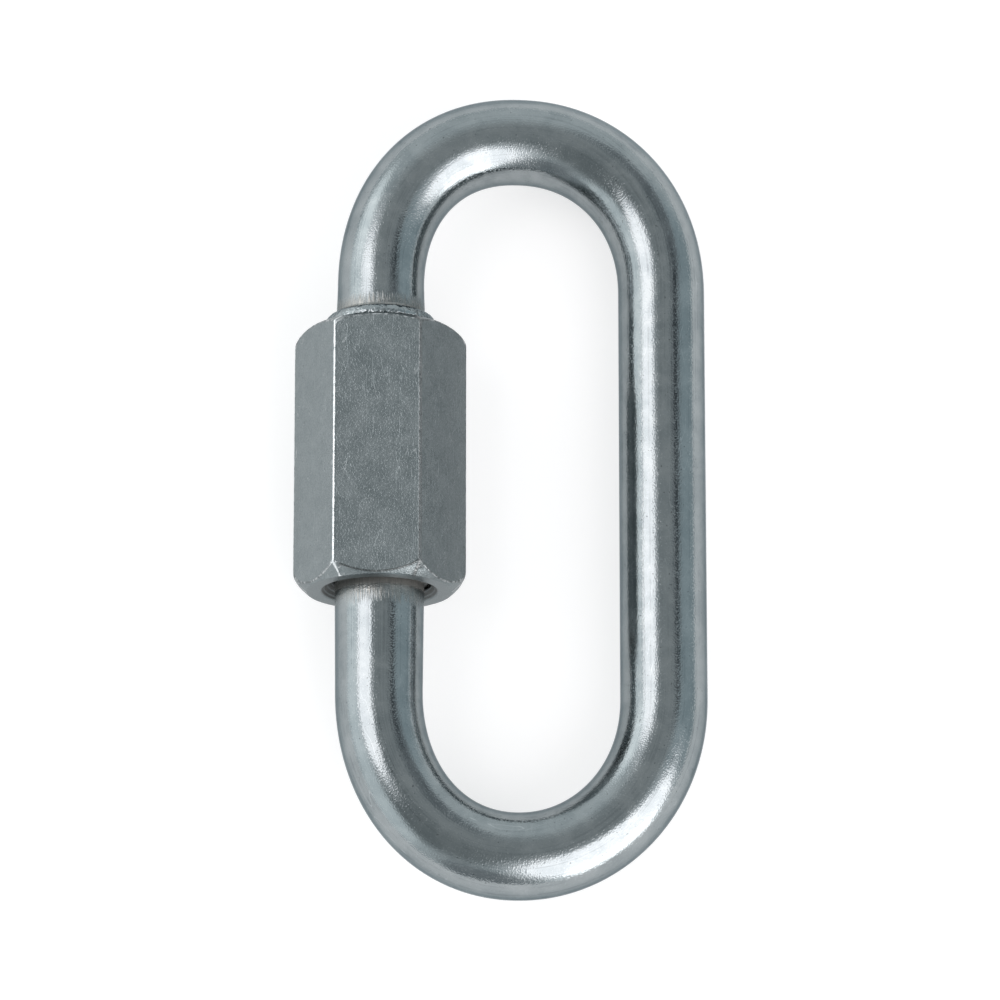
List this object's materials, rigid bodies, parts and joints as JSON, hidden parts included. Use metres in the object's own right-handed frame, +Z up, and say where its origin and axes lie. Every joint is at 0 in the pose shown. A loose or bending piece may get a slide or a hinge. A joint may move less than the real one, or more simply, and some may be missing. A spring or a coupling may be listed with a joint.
{
  "type": "chain quick link",
  "caption": "Oval link of bent round rod, closed by a long hexagonal sleeve nut that screws across the gap in one leg.",
  "frame": {"origin": "centre of the footprint on the surface the link lies on, at the middle of its length", "axes": "+Z up from the surface, +Y along the link towards the end where the nut meets its shoulder, -X towards the leg with the nut"},
  "size_m": [0.0378, 0.076, 0.0137],
  "materials": {
    "rod_steel": "zinc plated, satin, with fine pits and drawing lines",
    "nut_steel": "zinc plated, dull, with fine scratches"
  },
  "bodies": {
    "link": {"bent_rod": "rod_steel"},
    "nut": {"sleeve_nut": "nut_steel"}
  },
  "joints": [
    {"name": "nut_travel", "type": "slide", "parent": "link", "child": "nut", "axis": [0, -1, 0], "range_m": [0, 0.0135]}
  ]
}
